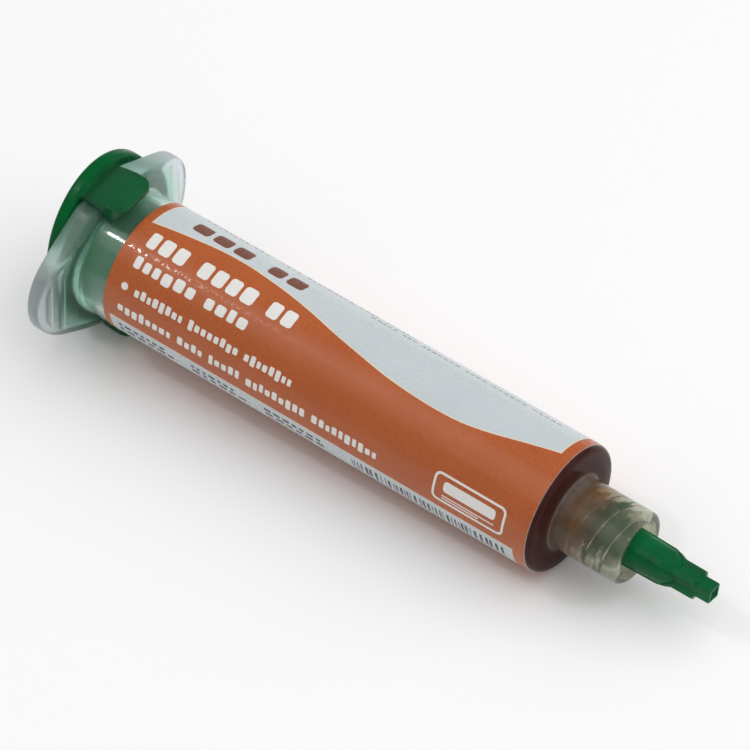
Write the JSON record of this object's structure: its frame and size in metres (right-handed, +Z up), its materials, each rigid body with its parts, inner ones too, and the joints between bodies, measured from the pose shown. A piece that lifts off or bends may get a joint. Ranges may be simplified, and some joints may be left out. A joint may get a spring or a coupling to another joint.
{
  "type": "flux syringe",
  "caption": "Capped dispensing syringe filled with soldering flux: clear barrel with finger flange and screw-lock outlet, printed label, wiper piston, clip-on end cap and tip cap.",
  "frame": {"origin": "middle of the lying syringe's box, on the surface it rests on", "axes": "+X along the length towards the outlet, +Z up, +Y to the left of someone looking along +X; the syringe's own axis dips 2.8 degrees towards the outlet"},
  "size_m": [0.1024, 0.0316, 0.0259],
  "materials": {
    "clear_plastic": "satin, cloudy clear",
    "printed_film": "satin print",
    "flux": "moist paste",
    "green_plastic": "satin moulded"
  },
  "bodies": {
    "syringe": {"barrel": "clear_plastic", "label": "printed_film", "flux_paste": "flux"},
    "plunger": {"piston": "green_plastic"},
    "back_cap": {"end_cap": "green_plastic"},
    "front_cap": {"tip_cap": "green_plastic"}
  },
  "joints": [
    {"name": "piston_slide", "type": "slide", "parent": "syringe", "child": "plunger", "axis": [0.9988, 0, -0.0487], "range_m": [0, 0.0465], "deforming": ["flux_paste"]},
    {"name": "end_cap_pull", "type": "slide", "parent": "syringe", "child": "back_cap", "axis": [-0.9988, 0, 0.0487], "range_m": [0, 0.03], "deforming": ["end_cap"]},
    {"name": "tip_cap_pull", "type": "slide", "parent": "syringe", "child": "front_cap", "axis": [0.9988, 0, -0.0487], "range_m": [0, 0.015]}
  ]
}
